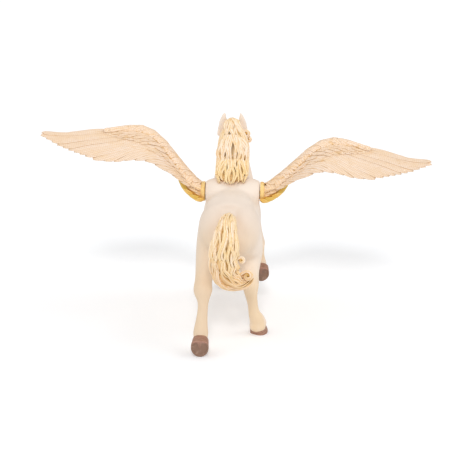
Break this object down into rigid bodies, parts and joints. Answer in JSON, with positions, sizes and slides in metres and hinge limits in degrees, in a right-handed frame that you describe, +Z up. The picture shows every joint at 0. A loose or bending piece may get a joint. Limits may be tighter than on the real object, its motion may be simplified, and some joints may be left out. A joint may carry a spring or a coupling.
{
  "type": "winged horse figurine",
  "caption": "Moulded toy figurine of a walking winged horse with spread feathered wings, one foreleg raised, wavy mane and curled tail.",
  "frame": {"origin": "middle of the bounding box at the ground, under the horse", "axes": "+Y the way the horse faces, +X its right, along the wings, +Z up"},
  "size_m": [0.2164, 0.1208, 0.1105],
  "materials": {
    "body": "satin painted vinyl",
    "left_wing": "satin painted vinyl",
    "right_wing": "satin painted vinyl"
  },
  "bodies": {
    "root": {"body": "body", "left_wing": "left_wing", "right_wing": "right_wing"}
  },
  "joints": []
}
